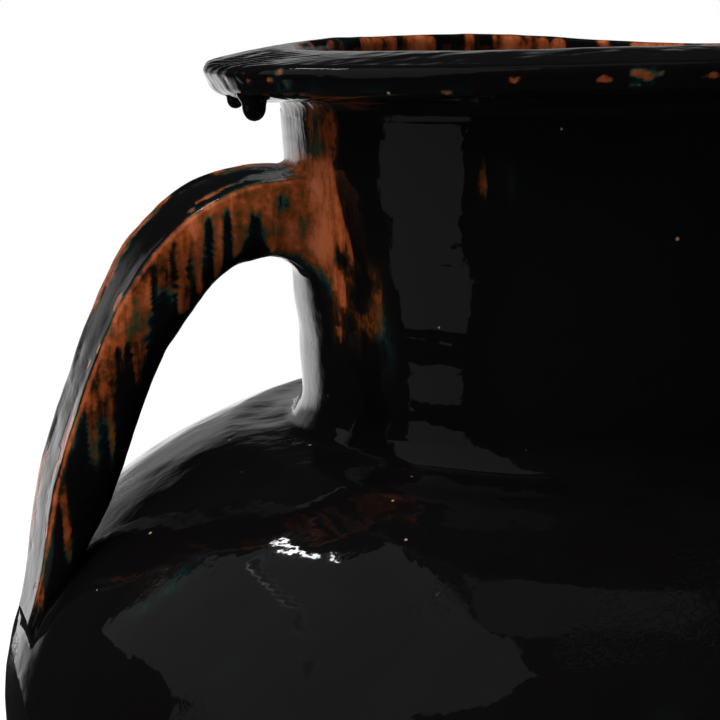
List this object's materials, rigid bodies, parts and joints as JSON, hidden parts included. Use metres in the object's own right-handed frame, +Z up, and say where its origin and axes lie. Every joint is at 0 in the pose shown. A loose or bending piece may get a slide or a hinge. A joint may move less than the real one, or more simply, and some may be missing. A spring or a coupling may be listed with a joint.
{
  "type": "two-handled storage jar",
  "caption": "Large round-bodied glazed clay jar with a tall neck, a thick flared lip and strap handles from neck to shoulder, open at the top and resting on a flat foot.",
  "frame": {"origin": "centre of the underside of the foot", "axes": "+Z up along the axis of the jar; the two handles stand on the X axis, the one above which the glaze has dripped at -X"},
  "size_m": [0.426, 0.426, 0.4052],
  "materials": {
    "black_glaze": "glossy black glaze over terracotta, breaking rust-brown",
    "rust_glaze": "glossy thin glaze, rust-orange on the ridges and black in the hollows",
    "bare_clay": "fired terracotta, matt",
    "glaze_drip": "glossy black glaze"
  },
  "bodies": {
    "root": {"foot_slab": "bare_clay", "lower_body": "black_glaze", "upper_body": "black_glaze", "neck": "black_glaze", "rim_lip": "black_glaze", "foot_coil": "bare_clay", "belly_coil": "bare_clay", "left_handle": "rust_glaze", "right_handle": "rust_glaze", "left_upper_wad": "rust_glaze", "left_lower_wad": "rust_glaze", "right_upper_wad": "rust_glaze", "right_lower_wad": "rust_glaze", "glaze_drips": "glaze_drip"}
  },
  "joints": []
}
